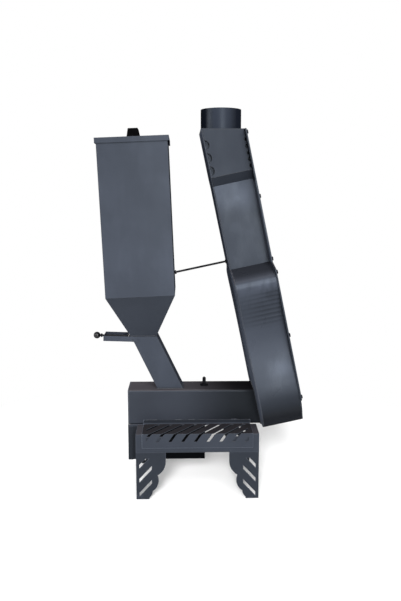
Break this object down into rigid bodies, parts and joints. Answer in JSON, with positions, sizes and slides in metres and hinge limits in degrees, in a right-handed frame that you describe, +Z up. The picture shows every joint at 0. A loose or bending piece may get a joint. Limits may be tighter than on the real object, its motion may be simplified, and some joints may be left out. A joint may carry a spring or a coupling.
{
  "type": "pellet stove",
  "caption": "Gravity-fed pellet stove: tall lidded hopper, leaning chute with a slide gate, flat firebox over an ash drawer, leaning body with window panes and a flue collar, winged stand.",
  "frame": {"origin": "on the floor, under the middle of the bounding box", "axes": "+Z up; +X from the hopper side to the body side, as seen from the front; -Y towards the viewer; the stove is symmetric about the XZ plane"},
  "size_m": [0.6241, 0.35, 1.1295],
  "materials": {
    "coated_steel": "semi-gloss powder coat",
    "black_steel": "black coat",
    "black_knob": "glossy",
    "bare_steel": "mill finish, heat-stained",
    "ceramic_glass": "clear ceramic glass",
    "rope_gasket": "flat woven glass rope"
  },
  "bodies": {
    "stove": {"firebox_tube": "coated_steel", "firebox_end_plate": "coated_steel", "burner_grate": "bare_steel", "ash_box": "coated_steel", "fuel_chute": "coated_steel", "gate_channel": "coated_steel", "gate_guides": "bare_steel", "hopper_funnel": "coated_steel", "hopper_box": "coated_steel", "tie_rod": "black_steel", "tie_rod_nuts": "black_steel", "back_plate": "coated_steel", "neck_side_near": "coated_steel", "neck_side_far": "coated_steel", "head_cheek_near": "coated_steel", "head_cheek_far": "coated_steel", "hood_side_near": "coated_steel", "hood_side_far": "coated_steel", "hood_bottom": "coated_steel", "head_top_plate": "coated_steel", "flue_collar": "coated_steel", "upper_flange": "coated_steel", "lower_flange": "coated_steel", "upper_window_frame": "coated_steel", "lower_window_frame": "coated_steel", "upper_glass": "ceramic_glass", "lower_glass": "ceramic_glass", "upper_gasket": "rope_gasket", "lower_gasket": "rope_gasket", "glass_clips": "bare_steel", "frame_screws": "black_steel", "wing_frame_near": "coated_steel", "wing_frame_far": "coated_steel", "perforated_panel_near": "coated_steel", "perforated_panel_far": "coated_steel", "leg_near_left": "coated_steel", "leg_near_right": "coated_steel", "leg_far_left": "coated_steel", "leg_far_right": "coated_steel"},
    "lid": {"hopper_lid": "coated_steel", "lid_handle": "black_steel", "lid_handle_screws": "black_steel"},
    "gate": {"gate_blade": "bare_steel", "gate_rod": "black_steel", "gate_nut": "black_steel", "gate_knob": "black_knob"},
    "drawer": {"ash_drawer": "coated_steel"},
    "plug": {"port_plug": "black_steel"}
  },
  "joints": [
    {"name": "lid_lift", "type": "slide", "parent": "stove", "child": "lid", "axis": [-0.0419, 0, 0.9991], "range_m": [0, 0.12]},
    {"name": "gate_slide", "type": "slide", "parent": "stove", "child": "gate", "axis": [-0.9994, 0, 0.0349], "range_m": [0, 0.07]},
    {"name": "drawer_slide", "type": "slide", "parent": "stove", "child": "drawer", "axis": [-1, 0, 0], "range_m": [0, 0.19]},
    {"name": "plug_lift", "type": "slide", "parent": "stove", "child": "plug", "axis": [0, 0, 1], "range_m": [0, 0.03]}
  ]
}
